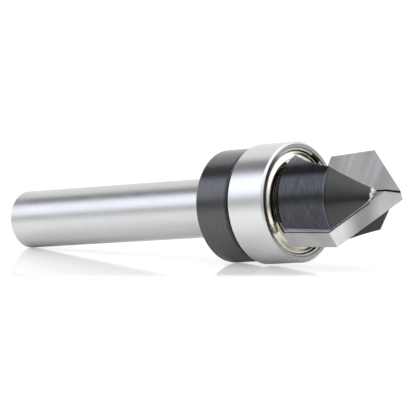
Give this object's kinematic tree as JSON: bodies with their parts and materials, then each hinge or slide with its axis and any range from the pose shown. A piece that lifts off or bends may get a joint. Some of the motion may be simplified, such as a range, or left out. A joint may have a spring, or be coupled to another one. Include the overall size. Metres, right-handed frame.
{
  "type": "v-groove router bit",
  "caption": "V-groove router bit with brazed carbide tips, a coated steel head, and a shielded guide bearing held on the shank by a stop collar.",
  "frame": {"origin": "centre of the shank's end face", "axes": "+Z along the bit from the shank end to the point; +X towards wing 1, whose rake face looks towards +Y"},
  "size_m": [0.0126, 0.0126, 0.0532],
  "materials": {
    "head_steel": "ground bright shank, black coated head and neck",
    "carbide": "fine ground gray carbide",
    "braze": "silver braze",
    "black_oxide": "satin black oxide",
    "bearing_steel": "polished bearing steel",
    "shield_sheet": "bright pressed sheet",
    "cage_sheet": "pressed sheet"
  },
  "bodies": {
    "cutter": {"cutter_body": "head_steel", "carbide_tip_1": "carbide", "carbide_tip_2": "carbide", "braze_layer_1": "braze", "braze_layer_2": "braze", "stop_collar": "black_oxide", "collar_set_screw": "black_oxide", "bearing_inner_ring": "bearing_steel"},
    "outer_race": {"bearing_outer_ring": "bearing_steel", "shield_front": "shield_sheet", "shield_rear": "shield_sheet", "snap_ring_front": "bearing_steel", "snap_ring_rear": "bearing_steel"},
    "ball_set": {"cage_front": "cage_sheet", "cage_rear": "cage_sheet", "ball_1": "bearing_steel", "ball_2": "bearing_steel", "ball_3": "bearing_steel", "ball_4": "bearing_steel", "ball_5": "bearing_steel", "ball_6": "bearing_steel", "ball_7": "bearing_steel", "ball_8": "bearing_steel", "ball_9": "bearing_steel", "ball_10": "bearing_steel", "ball_11": "bearing_steel"}
  },
  "joints": [
    {"name": "bearing_spin", "type": "hinge", "parent": "cutter", "child": "outer_race", "pos_m": [0, 0, 0.03768], "axis": [0, 0, 1], "continuous": true},
    {"name": "ball_circle_spin", "type": "hinge", "parent": "cutter", "child": "ball_set", "pos_m": [0, 0, 0.03768], "axis": [0, 0, 1], "continuous": true}
  ],
  "couplings": [
    {"joint": "ball_circle_spin", "follows": "bearing_spin", "ratio": 0.5833}
  ]
}
